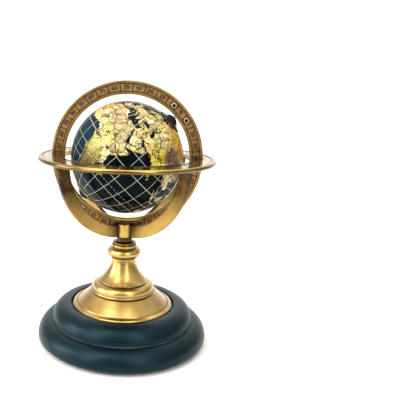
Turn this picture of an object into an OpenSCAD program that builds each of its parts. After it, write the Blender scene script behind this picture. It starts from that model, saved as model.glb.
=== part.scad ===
// Desktop globe on a turned stand: a ball on a tilted axle inside a full meridian ring,
// carried by a four-arm cradle, a flat horizon ring, a brass pedestal and a wooden base.
// Millimetres, +Z up, origin at the middle of the underside, meridian ring in the XZ plane.

/* [Globe] */
// diameter of the ball
globe_d = 101.6; // [80:1:130]
// wall thickness of the two half shells
shell_t = 2; // [1.5:0.1:4]
// height angle of the north pole above the horizon ring, degrees
pole_tilt = 42; // [30:1:60]
// diameter of the polar axle
axle_d = 3; // [2:0.1:5]
// diameter of the thin flange of each pole cap
cap_flange_d = 24.4; // [16:0.2:32]
// diameter of the dome of each pole cap
cap_dome_d = 13.4; // [9:0.2:20]
// height of the dome of each pole cap
cap_dome_h = 3.4; // [2:0.1:3.8]

/* [Meridian ring] */
// gap from the ball to the inner edge of the ring
ring_gap = 5.7; // [5.4:0.1:10]
// radial width of the ring
ring_w = 11.9; // [9:0.1:16]
// thickness of the ring
ring_t = 4.4; // [3.6:0.1:6]
// width of the raised rims beside the scale band
ring_rim = 2.3; // [1.4:0.1:3]
// depth of the scale band below the rims
band_depth = 0.4; // [0.2:0.05:0.6]
// angle from a pole to each of its two screws, degrees
screw_angle = 7.9; // [6:0.1:9]
// head diameter of the pole screws
screw_head_d = 5.4; // [3.6:0.1:6]

/* [Horizon ring] */
// radial width of the flat horizon ring
horizon_w = 21.7; // [15:0.1:30]
// thickness of the horizon ring
horizon_t = 4; // [3.2:0.1:6]
// width of the raised rims on the horizon ring
horizon_rim = 2.4; // [1.4:0.1:4]

/* [Cradle] */
// radial width of the cradle arms
arm_w = 11.3; // [8:0.1:16]
// thickness of the cradle arms
arm_t = 4; // [3:0.1:5]
// angle between each arm and the meridian plane, degrees
arm_angle = 42; // [38:1:50]
// diameter of the hub that holds the arms
hub_d = 18.6; // [15:0.1:24]
// height of the hub
hub_h = 13.4; // [11:0.1:18]

/* [Pedestal] */
// height of the neck collar
neck_h = 9.9; // [8:0.1:16]
// diameter of the neck collar
neck_d = 23; // [20:0.1:30]
// height of the round bead
bead_h = 10.4; // [9:0.1:14]
// diameter of the round bead
bead_d = 31.8; // [28:0.1:40]
// height of the flared bell
bell_h = 29.2; // [22:0.1:44]
// height of the brass foot from the floor of the recess to its top
foot_h = 18.8; // [15:0.1:28]
// diameter of the central tie rod
rod_d = 5; // [4:0.1:6]

/* [Base] */
// largest diameter of the wooden base
base_d = 160; // [130:1:200]
// height of the wooden base
base_h = 34; // [28:0.5:46]
// depth of the recess that takes the brass foot
recess_depth = 3.5; // [2:0.1:6]
// thickness of the felt pad
felt_t = 1; // [0.6:0.1:3]

/* [Fits] */
// clearance each side of the meridian ring in its slots
slide_gap = 0.35; // [0.2:0.05:0.8]
// radial clearance of the axle in its bushes
run_gap = 0.05; // [0.02:0.01:0.09]
// radial clearance of the tie rod and screw shanks in plain holes
rod_gap = 0.15; // [0.1:0.05:0.5]

/* [Hidden] */
brass = [0.78, 0.58, 0.27];
dark_brass = [0.30, 0.22, 0.14];
steel = [0.62, 0.62, 0.64];
wood_colour = [0.08, 0.14, 0.15];
land = [0.90, 0.80, 0.50];
sea = [0.05, 0.07, 0.12];
felt_colour = [0.08, 0.20, 0.12];

eps = 0.01;
ball_r = globe_d / 2;
ring_in = ball_r + ring_gap;
ring_out = ring_in + ring_w;
ring_mid = (ring_in + ring_out) / 2;
horizon_in = ring_in + 2.1;
horizon_out = horizon_in + horizon_w;
horizon_up = 1.4;
arm_in = ring_in + 6.5;
arm_out = arm_in + arm_w;
hub_r = hub_d / 2;
slot_half = ring_t / 2 + slide_gap;
notch_out = ring_out + 0.45;
arm_foot = (slot_half + 0.15 + arm_t / 2 * cos(arm_angle)) / sin(arm_angle);
arm_floor = 1.7;
tenon_h = 2;
tenon_inset = 2;

wood_z = felt_t;
wood_top = wood_z + base_h;
foot_z = wood_top - recess_depth;
bell_z = foot_z + foot_h;
bead_z = bell_z + bell_h;
neck_z = bead_z + bead_h;
hub_z = neck_z + neck_h;
centre_z = hub_z + arm_out;

base_r = base_d / 2;
foot_r = 0.59 * base_r;
recess_r = foot_r + 2;
cone_top_r = 0.378 * base_r;
ovolo_r = 6;
ovolo_c = 0.29 * base_r;
bell_top_r = neck_d / 2 - 0.4;
bore_r = rod_d / 2 + rod_gap;

nut_h = 4.5;
nut_d = 11;
washer_t = 1.4;
washer_d = 18;
well_d = 24;
well_h = 9;

stub_r = 1;
axle_r = axle_d / 2;
axle_half = ring_in + 4.6;
clip_gap = 0.2;
clip_t = ring_t / 2 - stub_r - clip_gap;
clip_half = 11.5;
clip_in = ring_in + 1.2;
clip_out = ring_out - 1.2;
shank_r = 0.9;
bush_r = 4;
bush_len = 7;
cap_flange_t = 1.5;
socket_d = 0.5 * screw_head_d;
cell_angle = 10;
line_w = 0.5;
line_depth = 0.2;

// flat strip with rounded corners, drawn from x0 to x1 and y0 to y1
module rounded_strip(x0, x1, y0, y1, r) {
    translate([x0 + r, y0]) square([x1 - x0 - 2 * r, y1 - y0]);
    translate([x0, y0 + r]) square([x1 - x0, y1 - y0 - 2 * r]);
    for (x = [x0 + r, x1 - r])
        for (y = [y0 + r, y1 - r])
            translate([x, y]) circle(r = r, $fn = 48);
}

// turns children so that their +Z lies on the polar axis and their origin on the ball's centre
module on_pole() {
    translate([0, 0, centre_z]) rotate([0, 90 - pole_tilt, 0]) children();
}

// puts children, drawn about +Z, into the meridian plane around the ball's centre
// (their +X stays level, their +Y points up, their +Z points to the front)
module in_meridian() {
    translate([0, 0, centre_z]) rotate([90, 0, 0]) children();
}

module felt_pad() {
    color(felt_colour)
        cylinder(r = base_r - 5.5, h = felt_t, $fn = 120);
}

module wood_profile() {
    low_r = 0.174 * base_r;
    low_c = base_r - low_r;
    low_z = wood_z + 0.154 * base_h;
    up_r = 0.415 * base_h;
    up_c = 0.834 * base_r - up_r;
    up_z = wood_top - up_r;
    difference() {
        union() {
            translate([0, wood_z]) square([low_c, low_z + low_r - wood_z]);
            intersection() {
                translate([low_c, low_z]) circle(r = low_r, $fn = 120);
                translate([0, wood_z]) square([base_r + 1, base_h]);
            }
            translate([0, wood_z]) square([up_c, base_h]);
            translate([up_c, up_z]) circle(r = up_r, $fn = 120);
        }
        polygon([[base_r - 4, wood_z - eps], [base_r + 2, wood_z - eps],
                 [base_r + 2, low_z], [base_r, low_z - 1.5]]);
        translate([0, foot_z]) square([recess_r, base_h]);
    }
}

module wood_base() {
    color(wood_colour)
        difference() {
            rotate_extrude($fn = 120) wood_profile();
            translate([0, 0, wood_z - eps]) cylinder(d = well_d, h = well_h + eps, $fn = 60);
            cylinder(r = bore_r, h = wood_top, $fn = 48);
        }
}

module base_washer() {
    color(steel)
        translate([0, 0, wood_z + well_h - washer_t])
            difference() {
                cylinder(d = washer_d, h = washer_t, $fn = 60);
                translate([0, 0, -eps]) cylinder(r = bore_r, h = washer_t + 1, $fn = 48);
            }
}

module base_nut() {
    color(steel)
        translate([0, 0, wood_z + well_h - washer_t - nut_h])
            difference() {
                cylinder(d = nut_d, h = nut_h, $fn = 6);
                translate([0, 0, -eps]) cylinder(d = rod_d, h = nut_h + 1, $fn = 48);
            }
}

module tie_rod() {
    color(steel)
        translate([0, 0, wood_z + 1.2])
            cylinder(d = rod_d, h = hub_z + 3.6 - wood_z - 1.2, $fn = 48);
}

module foot_profile() {
    cone_z = bell_z - 3.6;
    wall = 2.6;
    difference() {
        union() {
            polygon([[0, foot_z], [foot_r, foot_z], [foot_r, foot_z + 3.1],
                     [foot_r - 0.7, foot_z + 3.8], [foot_r - 3.4, foot_z + 5],
                     [foot_r - 3.9, foot_z + 4.5], [foot_r - 4.4, foot_z + 5.4],
                     [cone_top_r + 1, cone_z], [cone_top_r - 0.8, cone_z + 0.6],
                     [cone_top_r - 0.8, bell_z], [0, bell_z]]);
            translate([cone_top_r - 0.7, bell_z - 1.8]) circle(r = 1, $fn = 48);
        }
        polygon([[bore_r + 6, foot_z - eps], [foot_r - 6, foot_z - eps],
                 [foot_r - 6, foot_z + 2.2], [cone_top_r - wall, cone_z - wall - 0.6],
                 [bore_r + 6, cone_z - wall - 0.6]]);
        translate([0, foot_z - eps]) square([bore_r, foot_h + 1]);
    }
}

module foot_flange() {
    color(brass) rotate_extrude($fn = 120) foot_profile();
}

module bell_profile() {
    lip_z = bell_z + ovolo_r + 0.9;
    r0 = ovolo_c - 0.2;
    z0 = lip_z + 0.75;
    r1 = bell_top_r;
    z1 = bead_z;
    // centre of the hollow flare: a circle of flare_r through (r0, z0) and (r1, z1)
    chord = sqrt((r0 - r1) * (r0 - r1) + (z1 - z0) * (z1 - z0));
    flare_r = 1.3 * chord;
    reach = sqrt(flare_r * flare_r - chord * chord / 4);
    flare_x = (r0 + r1) / 2 + reach * (z1 - z0) / chord;
    flare_z = (z0 + z1) / 2 + reach * (r0 - r1) / chord;
    difference() {
        union() {
            translate([0, bell_z]) square([ovolo_c, ovolo_r]);
            intersection() {
                translate([ovolo_c, bell_z + 0.4]) circle(r = ovolo_r, $fn = 96);
                translate([0, bell_z]) square([base_r, bell_h]);
            }
            translate([0, bell_z + ovolo_r]) square([ovolo_c - 0.6, 1.2]);
            polygon([[0, lip_z], [ovolo_c, lip_z], [ovolo_c + 0.4, lip_z + 0.3],
                     [ovolo_c + 0.3, lip_z + 0.6], [r0, z0 + eps], [0, z0 + eps]]);
            difference() {
                translate([0, z0]) square([r0, z1 - z0]);
                translate([flare_x, flare_z]) circle(r = flare_r, $fn = 180);
            }
        }
        // hollow inside, open below
        polygon([[0, bell_z - eps], [ovolo_c - 1.5, bell_z - eps],
                 [ovolo_c - 5, bell_z + 4.4], [bell_top_r - 1, bell_z + 0.4 * bell_h],
                 [bell_top_r - 4, bell_z + 0.75 * bell_h],
                 [0, bell_z + 0.75 * bell_h]]);
        translate([0, bell_z]) square([bore_r, bell_h + 1]);
    }
}

module pedestal_bell() {
    color(brass) rotate_extrude($fn = 120) bell_profile();
}

module bead_profile() {
    bulge = 0.48 * bead_h;
    difference() {
        union() {
            translate([0, bead_z]) square([bell_top_r, bead_h]);
            translate([0, bead_z]) square([bell_top_r + 0.4, 0.8]);
            translate([bead_d / 2 - bulge, bead_z + bead_h - bulge + 0.1])
                intersection() {
                    circle(r = bulge, $fn = 96);
                    translate([-bulge, -bulge]) square([2 * bulge, 2 * bulge - 0.1]);
                }
            translate([0, bead_z + bead_h - 2 * bulge + 0.1])
                square([bead_d / 2 - bulge, 2 * bulge - 0.1]);
        }
        // hollow cove under the bulge
        translate([bell_top_r + 2.6, bead_z + 0.8 - eps])
            intersection() {
                circle(r = 2.6, $fn = 60);
                translate([-3, 0]) square([6, 3]);
            }
        translate([0, bead_z - eps]) square([bore_r, bead_h + 1]);
    }
}

module pedestal_bead() {
    color(brass) rotate_extrude($fn = 120) bead_profile();
}

module neck_profile() {
    ring_h = 0.31 * neck_h;
    disc_z = neck_z + 0.4 * neck_h;
    disc_r = neck_d / 2 - 0.5;
    stem_r = disc_r - 3.7;
    stem_z = neck_z + 0.7 * neck_h;
    cove = stem_z - disc_z - 0.9;
    difference() {
        union() {
            rounded_strip(1, neck_d / 2 + 0.1, neck_z, neck_z + ring_h, 0.8);
            translate([0, neck_z]) square([neck_d / 2 - 1, ring_h]);
            translate([0, neck_z]) square([disc_r - 1.4, 0.45 * neck_h]);
            rounded_strip(1, disc_r, disc_z, disc_z + 0.9, 0.35);
            // hollow flare from the disc's edge up to the stem
            difference() {
                translate([0, disc_z + 0.5]) square([disc_r - 0.3, stem_z - disc_z - 0.5]);
                translate([disc_r - 0.3, stem_z])
                    scale([(disc_r - 0.3 - stem_r) / cove, 1]) circle(r = cove, $fn = 72);
            }
            translate([0, stem_z - 1]) square([stem_r, 0.9 * neck_h - stem_z + neck_z + 1]);
            translate([0, stem_z]) square([stem_r - 0.6, hub_z - stem_z]);
        }
        translate([0, neck_z - eps]) square([bore_r, neck_h + 1]);
    }
}

module neck_collar() {
    color(brass) rotate_extrude($fn = 120) neck_profile();
}

// the four upright slots of the hub, or the arm ends that fill them
module arm_end(side) {
    rotate([0, 0, side])
        translate([arm_foot, -arm_t / 2, hub_z + arm_floor])
            cube([hub_r + 2, arm_t, arm_w + 4]);
}

module cradle_hub() {
    color(brass)
        difference() {
            rotate_extrude($fn = 96)
                union() {
                    rounded_strip(1, hub_r, hub_z, hub_z + hub_h, 1.2);
                    translate([0, hub_z]) square([hub_r - 2, hub_h]);
                }
            in_meridian() cylinder(r = notch_out, h = 2 * slot_half, center = true, $fn = 240);
            for (side = [arm_angle, 180 - arm_angle, 180 + arm_angle, -arm_angle])
                arm_end(side);
            translate([0, 0, hub_z - eps]) cylinder(d = rod_d, h = 3.7, $fn = 48);
        }
}

module arm(side) {
    under = centre_z + horizon_up - horizon_t;
    color(brass) {
        difference() {
            rotate([0, 0, side])
                intersection() {
                    translate([0, 0, centre_z])
                        rotate([90, 0, 0])
                            rotate_extrude($fn = 240)
                                rounded_strip(arm_in, arm_out, -arm_t / 2, arm_t / 2, 0.5);
                    translate([hub_r / 2, -arm_t, 0]) cube([arm_out + 2, 2 * arm_t, under]);
                }
            cylinder(r = hub_r, h = centre_z, $fn = 96);
        }
        intersection() {
            rotate([0, 0, side])
                intersection() {
                    translate([0, 0, centre_z])
                        rotate([90, 0, 0])
                            difference() {
                                cylinder(r = arm_out, h = arm_t, center = true, $fn = 240);
                                cylinder(r = arm_in, h = arm_t + 1, center = true, $fn = 240);
                            }
                    translate([arm_foot, -arm_t, hub_z + arm_floor])
                        cube([hub_r + 1 - arm_foot, 2 * arm_t, arm_w + 4]);
                }
            arm_end(side);
        }
        rotate([0, 0, side])
            translate([arm_in + tenon_inset, -arm_t / 2 + 0.6, under - 1])
                cube([arm_w - 2 * tenon_inset, arm_t - 1.2, tenon_h + 1]);
    }
}

module arm_front_left() {
    arm(180 + arm_angle);
}

module arm_front_right() {
    arm(-arm_angle);
}

module arm_rear_left() {
    arm(180 - arm_angle);
}

module arm_rear_right() {
    arm(arm_angle);
}

module horizon_ring() {
    top = centre_z + horizon_up;
    under = top - horizon_t;
    band_in = horizon_in + horizon_rim;
    band_out = horizon_out - horizon_rim - 1;
    color(brass)
        difference() {
            rotate_extrude($fn = 240)
                difference() {
                    union() {
                        rounded_strip(horizon_in, horizon_out - 2, under, top, 0.8);
                        translate([horizon_out - horizon_t / 2, under + horizon_t / 2])
                            circle(r = horizon_t / 2, $fn = 60);
                        translate([horizon_out - horizon_t, under])
                            square([horizon_t / 2, horizon_t]);
                    }
                    translate([band_in, top - band_depth])
                        square([band_out - band_in, 1]);
                    translate([(band_in + band_out) / 2 + 1.2, top - band_depth - line_depth])
                        square([line_w, 1]);
                }
            for (side = [0, 180])
                rotate([0, 0, side])
                    translate([0, -slot_half, under - 1])
                        cube([notch_out, 2 * slot_half, horizon_t + 2]);
            for (side = [arm_angle, 180 - arm_angle, 180 + arm_angle, -arm_angle])
                rotate([0, 0, side])
                    translate([arm_in + tenon_inset, -arm_t / 2 + 0.6, under - 1])
                        cube([arm_w - 2 * tenon_inset, arm_t - 1.2, tenon_h + 1]);
            for (k = [0:35])
                rotate([0, 0, k * cell_angle + cell_angle / 2])
                    translate([band_in, -line_w / 2, top - band_depth - line_depth])
                        cube([band_out - band_in, line_w, 1]);
        }
}

// screw and clip places: angles in the meridian plane measured from +X up to +Z
module at_angle(a, r) {
    in_meridian() rotate([0, 0, a]) translate([r, 0, 0]) children();
}

module clip_plate(pole) {
    in_meridian()
        rotate([0, 0, pole])
            translate([0, 0, -ring_t / 2])
                intersection() {
                    difference() {
                        cylinder(r = clip_out, h = clip_t, $fn = 240);
                        translate([0, 0, -1]) cylinder(r = clip_in, h = clip_t + 2, $fn = 240);
                    }
                    linear_extrude(clip_t)
                        polygon([[0, 0],
                                 [2 * ring_out * cos(clip_half), -2 * ring_out * sin(clip_half)],
                                 [2 * ring_out * cos(clip_half), 2 * ring_out * sin(clip_half)]]);
                }
}

module meridian_ring() {
    front = ring_t / 2;
    band_in = ring_in + ring_rim;
    band_out = ring_out - ring_rim;
    color(brass)
        difference() {
            in_meridian()
                difference() {
                    rotate_extrude($fn = 240)
                        difference() {
                            rounded_strip(ring_in, ring_out, -front, front, 0.9);
                            translate([band_in, front - band_depth])
                                square([band_out - band_in, 1]);
                        }
                    for (k = [0:35])
                        rotate([0, 0, pole_tilt + k * cell_angle + cell_angle / 2])
                            translate([band_in, -line_w / 2, front - band_depth - line_depth])
                                cube([band_out - band_in, line_w, 1]);
                }
            for (pole = [pole_tilt, pole_tilt + 180]) {
                clip_plate(pole);
                in_meridian()
                    rotate([0, 0, pole]) {
                        translate([ring_in - 1, 0, 0])
                            rotate([0, 90, 0])
                                cylinder(r = stub_r, h = 5.7, $fn = 36);
                        translate([ring_in - 1, -stub_r, -ring_t / 2 + clip_t - eps])
                            cube([5.7, 2 * stub_r, ring_t / 2 - clip_t + eps]);
                    }
                for (s = [-screw_angle, screw_angle])
                    at_angle(pole + s, ring_mid)
                        cylinder(r = shank_r + rod_gap, h = 2 * ring_t, center = true, $fn = 36);
            }
        }
}

module pole_clip(pole) {
    color(brass)
        difference() {
            clip_plate(pole);
            for (s = [-screw_angle, screw_angle])
                at_angle(pole + s, ring_mid)
                    cylinder(r = shank_r, h = 2 * ring_t, center = true, $fn = 36);
        }
}

module pole_clip_north() {
    pole_clip(pole_tilt);
}

module pole_clip_south() {
    pole_clip(pole_tilt + 180);
}

module screw() {
    seat = ring_t / 2 - band_depth;
    difference() {
        union() {
            translate([0, 0, -ring_t / 2]) cylinder(r = shank_r, h = ring_t / 2 + seat, $fn = 36);
            translate([0, 0, seat]) cylinder(d = screw_head_d, h = 0.6, $fn = 48);
            translate([0, 0, seat + 0.6])
                cylinder(d1 = screw_head_d, d2 = screw_head_d - 1, h = 0.4, $fn = 48);
        }
        translate([0, 0, seat + 0.35]) cylinder(d = socket_d, h = 2, $fn = 6);
    }
}

module pole_screws() {
    color(steel)
        for (pole = [pole_tilt, pole_tilt + 180])
            for (s = [-screw_angle, screw_angle])
                at_angle(pole + s, ring_mid) screw();
}

module polar_axle() {
    color(steel)
        on_pole() {
            cylinder(r = axle_r, h = 2 * ring_in - 1, center = true, $fn = 48);
            cylinder(r = stub_r, h = 2 * axle_half, center = true, $fn = 36);
        }
}

module half_shell(up) {
    on_pole()
        rotate([up ? 0 : 180, 0, 0])
            difference() {
                sphere(r = ball_r, $fn = 180);
                sphere(r = ball_r - shell_t, $fn = 180);
                translate([0, 0, -globe_d / 2])
                    cube([globe_d + 2, globe_d + 2, globe_d], center = true);
                cylinder(r = bush_r, h = globe_d, $fn = 60);
            }
}

module globe_north() {
    color(land) half_shell(true);
}

module globe_south() {
    color(sea) half_shell(false);
}

module equator_collar() {
    color(steel)
        on_pole()
            difference() {
                intersection() {
                    sphere(r = ball_r - shell_t, $fn = 180);
                    cylinder(r = ball_r, h = 10, center = true, $fn = 180);
                }
                cylinder(r = ball_r - shell_t - 2, h = 12, center = true, $fn = 180);
            }
}

module bush(up) {
    color(brass)
        on_pole()
            rotate([up ? 0 : 180, 0, 0])
                difference() {
                    union() {
                        translate([0, 0, ball_r - bush_len])
                            cylinder(r = bush_r, h = bush_len, $fn = 60);
                        translate([0, 0, ball_r - bush_len])
                            cylinder(r = bush_r + 2, h = 2, $fn = 60);
                    }
                    cylinder(r = axle_r + run_gap, h = globe_d, $fn = 48);
                }
}

module bush_north() {
    bush(true);
}

module bush_south() {
    bush(false);
}

module pole_cap(up) {
    // the flange is dished: it follows the ball out to its rim, and thins towards it
    rim_r = cap_flange_d / 2;
    rim_z = sqrt(ball_r * ball_r - rim_r * rim_r);
    dome_r = (cap_dome_d * cap_dome_d / 4 + cap_dome_h * cap_dome_h) / (2 * cap_dome_h);
    dome_z = ball_r + cap_flange_t;
    color(dark_brass)
        on_pole()
            rotate([up ? 0 : 180, 0, 0])
                difference() {
                    union() {
                        rotate_extrude($fn = 120)
                            polygon([[0, rim_z], [rim_r - 0.3, rim_z], [rim_r, rim_z + 0.3],
                                     [rim_r, rim_z + 0.8], [rim_r - 0.4, rim_z + 1.1],
                                     [cap_dome_d / 2 + 0.8, dome_z - 0.4],
                                     [cap_dome_d / 2, dome_z], [0, dome_z]]);
                        intersection() {
                            translate([0, 0, dome_z + cap_dome_h - dome_r])
                                sphere(r = dome_r, $fn = 96);
                            translate([0, 0, dome_z - 0.5])
                                cylinder(d = cap_dome_d, h = cap_dome_h + 2, $fn = 96);
                        }
                    }
                    sphere(r = ball_r, $fn = 180);
                    cylinder(r = bush_r, h = ball_r, $fn = 60);
                    cylinder(r = axle_r + run_gap, h = 2 * globe_d, $fn = 48);
                }
}

module cap_north() {
    pole_cap(true);
}

module cap_south() {
    pole_cap(false);
}

felt_pad();
wood_base();
base_washer();
base_nut();
tie_rod();
foot_flange();
pedestal_bell();
pedestal_bead();
neck_collar();
cradle_hub();
arm_front_left();
arm_front_right();
arm_rear_left();
arm_rear_right();
horizon_ring();
meridian_ring();
pole_clip_north();
pole_clip_south();
pole_screws();
polar_axle();
globe_north();
globe_south();
equator_collar();
bush_north();
bush_south();
cap_north();
cap_south();
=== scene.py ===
import bpy, bmesh, math, random
from mathutils import Matrix, Vector, geometry


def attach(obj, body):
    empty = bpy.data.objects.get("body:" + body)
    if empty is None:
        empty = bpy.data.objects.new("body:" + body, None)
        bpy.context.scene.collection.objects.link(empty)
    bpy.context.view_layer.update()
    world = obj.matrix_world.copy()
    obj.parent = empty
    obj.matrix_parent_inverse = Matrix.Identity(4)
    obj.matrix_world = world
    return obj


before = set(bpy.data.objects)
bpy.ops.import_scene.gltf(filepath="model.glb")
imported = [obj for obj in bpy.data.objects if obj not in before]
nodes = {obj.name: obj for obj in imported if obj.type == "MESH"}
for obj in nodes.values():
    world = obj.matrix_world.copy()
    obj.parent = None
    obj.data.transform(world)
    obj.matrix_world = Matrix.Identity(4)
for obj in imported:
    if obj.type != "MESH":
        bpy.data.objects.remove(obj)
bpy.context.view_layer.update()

# Places and sizes of the CAD model, in metres. Angles are in radians unless a comment says degrees.
CENTRE = Vector((0, 0, 0.1741))  # the ball's centre
BALL = 0.0508  # the ball's radius
TILT = math.radians(42.0)  # the axle's lean above the horizon
POLE = Vector((math.cos(TILT), 0, math.sin(TILT)))
FRONT = Vector((0, -1, 0))
EAST = POLE.cross(FRONT)
UP = Vector((0, 0, 1))
MERIDIAN_BAND = (0.0588, 0.0661)  # inner and outer radius of the scale sunk in the meridian ring
MERIDIAN_FLOOR = -0.0018  # y of its floor
MERIDIAN_MID = 0.06245  # radius of its numbers and of the pole screws
SCREW_ANGLES = (34.1, 49.9, 214.1, 229.9)  # degrees round the meridian ring
SCREW_HEAD = 0.0029
SCREW_SOCKET = 0.00152
HORIZON_BAND = (0.0610, 0.0769)  # the same for the scale sunk in the horizon ring
HORIZON_FLOOR = CENTRE.z + 0.0014 - 0.0004  # z of its floor, 0.4 mm under the ring's top
HORIZON_NUMBERS = 0.0655  # radius of its numbers
TICKS_END = 0.0766  # radius where its division marks end
HALF_CELL = math.radians(5)  # half of one scale cell
WOOD_CREASE = (0.0668, 0.0207)  # radius and height of the step's edge on the wooden base
LON0 = 56.0  # the longitude that faces the front at rest, in degrees


# ---------------------------------------------------------------- materials
class Mat:
    """One material, with short calls for the nodes that the recipes below use."""

    def __init__(self, name):
        self.m = bpy.data.materials.new(name)
        self.m.use_nodes = True
        self.nt = self.m.node_tree
        self.nt.nodes.clear()
        out = self.node("OutputMaterial")
        self.b = self.node("BsdfPrincipled")
        self.link(self.b.outputs[0], out.inputs[0])

    def node(self, kind, **props):
        n = self.nt.nodes.new("ShaderNode" + kind)
        for k, v in props.items():
            setattr(n, k, v)
        return n

    def link(self, a, b):
        self.nt.links.new(a, b)

    def feed(self, value, socket):
        """Sets a colour or a number on a socket, or links an output to it."""
        if isinstance(value, tuple):
            socket.default_value = (*value, 1)
        elif isinstance(value, (int, float)):
            socket.default_value = value
        else:
            self.link(value, socket)

    def math(self, op, a, b=None, clamp=False):
        n = self.node("Math", operation=op, use_clamp=clamp)
        self.feed(a, n.inputs[0])
        if b is not None:
            self.feed(b, n.inputs[1])
        return n.outputs[0]

    def add(self, a, b):
        return self.math("ADD", a, b)

    def sub(self, a, b):
        return self.math("SUBTRACT", a, b)

    def mul(self, a, b, clamp=False):
        return self.math("MULTIPLY", a, b, clamp)

    def hypot(self, first, *others):
        """The square root of the sum of squares."""
        total = self.mul(first, first)
        for v in others:
            total = self.add(total, self.mul(v, v))
        return self.math("SQRT", total)

    def vector(self, op, linked, *constants):
        """The node of a vector operation on one linked vector and constant ones."""
        n = self.node("VectorMath", operation=op)
        self.link(linked, n.inputs[0])
        for i, v in enumerate(constants, 1):
            n.inputs[i].default_value = v
        return n

    def coords(self):
        return self.node("TexCoord").outputs["Object"]

    def xyz(self, vec):
        n = self.node("SeparateXYZ")
        self.link(vec, n.inputs[0])
        return n.outputs

    def combine(self, *values):
        n = self.node("CombineXYZ")
        for v, socket in zip(values, n.inputs):
            self.feed(v, socket)
        return n.outputs[0]

    def noise(self, vec, scale, detail=2.0, rough=0.5, out="Fac"):
        n = self.node("TexNoise")
        self.link(vec, n.inputs["Vector"])
        n.inputs["Scale"].default_value = scale
        n.inputs["Detail"].default_value = detail
        n.inputs["Roughness"].default_value = rough
        return n.outputs[out]

    def voronoi(self, vec, scale, feature, out):
        n = self.node("TexVoronoi", feature=feature)
        self.link(vec, n.inputs["Vector"])
        n.inputs["Scale"].default_value = scale
        return n.outputs[out]

    def ramp(self, fac, stops, interpolation="LINEAR"):
        n = self.node("ValToRGB")
        r = n.color_ramp
        r.interpolation = interpolation
        while len(r.elements) < len(stops):
            r.elements.new(0.5)
        for e, (position, colour) in zip(r.elements, stops):
            e.position = position
            e.color = (*colour, 1)
        self.link(fac, n.inputs[0])
        return n.outputs[0]

    def mix(self, fac, a, b):
        n = self.node("Mix", data_type="RGBA", blend_type="MIX")
        for v, i in ((fac, 0), (a, 6), (b, 7)):  # 6 and 7 are the colour sockets
            self.feed(v, n.inputs[i])
        return n.outputs[2]

    def remap(self, value, from_lo, from_hi, to_lo=0.0, to_hi=1.0):
        n = self.node("MapRange")
        self.link(value, n.inputs[0])
        for i, v in enumerate((from_lo, from_hi, to_lo, to_hi), 1):
            n.inputs[i].default_value = v
        return n.outputs[0]

    def grey(self, fac, lo, hi):
        """Spreads a noise over lo to hi; most of a noise lies between 0.25 and 0.75."""
        return self.remap(fac, 0.25, 0.75, lo, hi)

    def band(self, value, centre, half, soft=0.00012):
        """1 where value is within half of centre, 0 outside, with a soft edge."""
        away = self.math("ABSOLUTE", self.sub(value, centre))
        return self.remap(away, half - soft, half + soft, 1.0, 0.0)

    def cavity(self, distance, lo=0.35, hi=0.95):
        """1 in corners and grooves, 0 in the open: a mask for painting shade where it falls."""
        n = self.node("AmbientOcclusion")
        n.samples = 6
        n.inputs["Distance"].default_value = distance
        return self.remap(n.outputs["AO"], lo, hi, 1.0, 0.0)

    def bump(self, height, strength, distance=0.0004):
        n = self.node("Bump")
        n.inputs["Strength"].default_value = strength
        n.inputs["Distance"].default_value = distance
        self.link(height, n.inputs["Height"])
        self.link(n.outputs[0], self.b.inputs["Normal"])

    def surface(self, colour, rough, **constants):
        """Feeds the shader. The constants are given with _ for each space in a socket's name."""
        self.link(colour, self.b.inputs["Base Color"])
        self.feed(rough, self.b.inputs["Roughness"])
        for socket, value in constants.items():
            self.b.inputs[socket.replace("_", " ")].default_value = value


def radius_about(m, kind):
    """Position, radius and height about the upright axis, the ring's level axis or the ball's centre."""
    p = m.coords()
    x, y, z = m.xyz(p)
    if kind == "turned":
        return p, m.hypot(x, y), z
    zc = m.sub(z, CENTRE.z)
    if kind == "ring":
        return p, m.hypot(x, zc), y
    return p, m.hypot(x, y, zc), 0.0


def sunk_scale(m, kind, base, p, r, h, radii, floor, stains, first):
    """A stained band with dark edges and dark lines between its cells. Gives the colour and its mask."""
    inner, outer = radii
    flat = m.band(h, floor, 0.00035, 0.00003)
    mask = m.mul(m.band(r, (inner + outer) / 2, (outer - inner) / 2), flat)
    stain = m.noise(p, 230.0, 4.0, 0.6)
    base = m.mix(mask, base, m.ramp(stain, list(zip((0.3, 0.52, 0.75), stains))))
    edge = m.math("MAXIMUM", m.band(r, inner + 0.0003, 0.0005), m.band(r, outer - 0.0003, 0.0006))
    base = m.mix(m.mul(edge, m.mul(flat, 0.85)), base, (0.045, 0.02, 0.008))
    x, y, z = m.xyz(p)
    turn = m.math("ARCTAN2", m.sub(z, CENTRE.z) if kind == "ring" else y, x)
    away = m.math("PINGPONG", m.sub(turn, first + HALF_CELL), HALF_CELL)
    spoke = m.band(m.mul(away, r), 0.0, 0.00048, 0.0001)
    return m.mix(m.mul(m.mul(spoke, mask), 0.85), base, (0.05, 0.022, 0.010)), mask


def darkened(m, base, p, r, patina, runs):
    """Runs of painted shade (measure, start, end, amount) along z, r, the distance from the axis or from
    x = 0, made uneven by the patina.
    """
    x, y, z = m.xyz(p)
    measures = {"z": z, "r": r, "axis": m.hypot(x, y), "side": m.math("ABSOLUTE", x)}
    for measure, start, end, amount in runs:
        run = m.mul(m.remap(measures[measure], start, end), amount)
        painted_shade = m.mul(run, m.grey(patina, 0.75, 1.15), clamp=True)
        base = m.mix(painted_shade, base, (0.040, 0.019, 0.008))
    return base


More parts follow.
